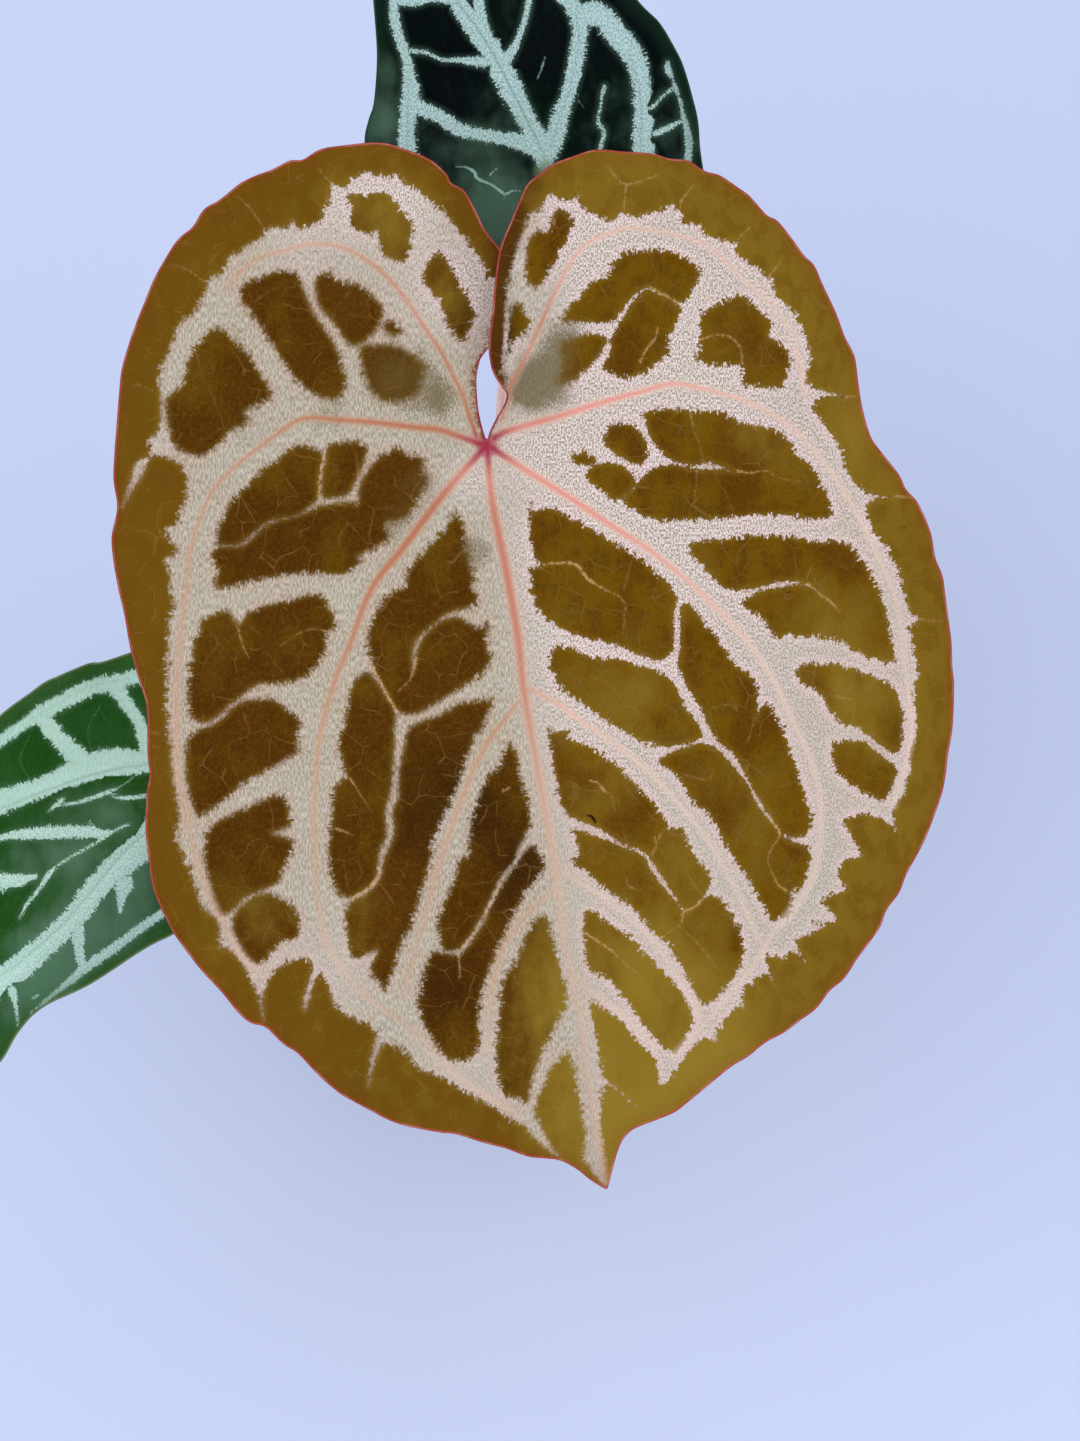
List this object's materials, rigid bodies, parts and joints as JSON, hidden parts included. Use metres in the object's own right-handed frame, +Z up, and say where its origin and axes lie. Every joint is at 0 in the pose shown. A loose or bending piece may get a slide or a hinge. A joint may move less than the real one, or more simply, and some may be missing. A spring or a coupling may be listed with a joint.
{
  "type": "potted anthurium hybrid",
  "caption": "House plant in a round nursery pot: a patterned bronze leaf and two older green leaves on long petioles over a short rooted crown in potting mix.",
  "frame": {"origin": "middle of the pot's base, on the surface that the pot stands on", "axes": "+Z up along the pot's axis, the young blade's tip towards -Y"},
  "size_m": [0.2702, 0.3747, 0.3497],
  "materials": {
    "pot_plastic": "moulded, satin",
    "potting_mix": "loose, rough",
    "petiole_pink": "smooth, waxy",
    "petiole_green": "smooth, waxy",
    "leaf_bronze": "velvety, with silver veins",
    "leaf_dark_green": "velvety, with mint veins",
    "leaf_mid_green": "velvety, with mint veins",
    "crown": "rough"
  },
  "bodies": {
    "root": {"nursery_pot": "pot_plastic", "potting_mix": "potting_mix", "petiole_young": "petiole_pink", "blade_young": "leaf_bronze", "petiole_back": "petiole_pink", "blade_back": "leaf_dark_green", "petiole_side": "petiole_green", "blade_side": "leaf_mid_green", "crown": "crown"}
  },
  "joints": []
}
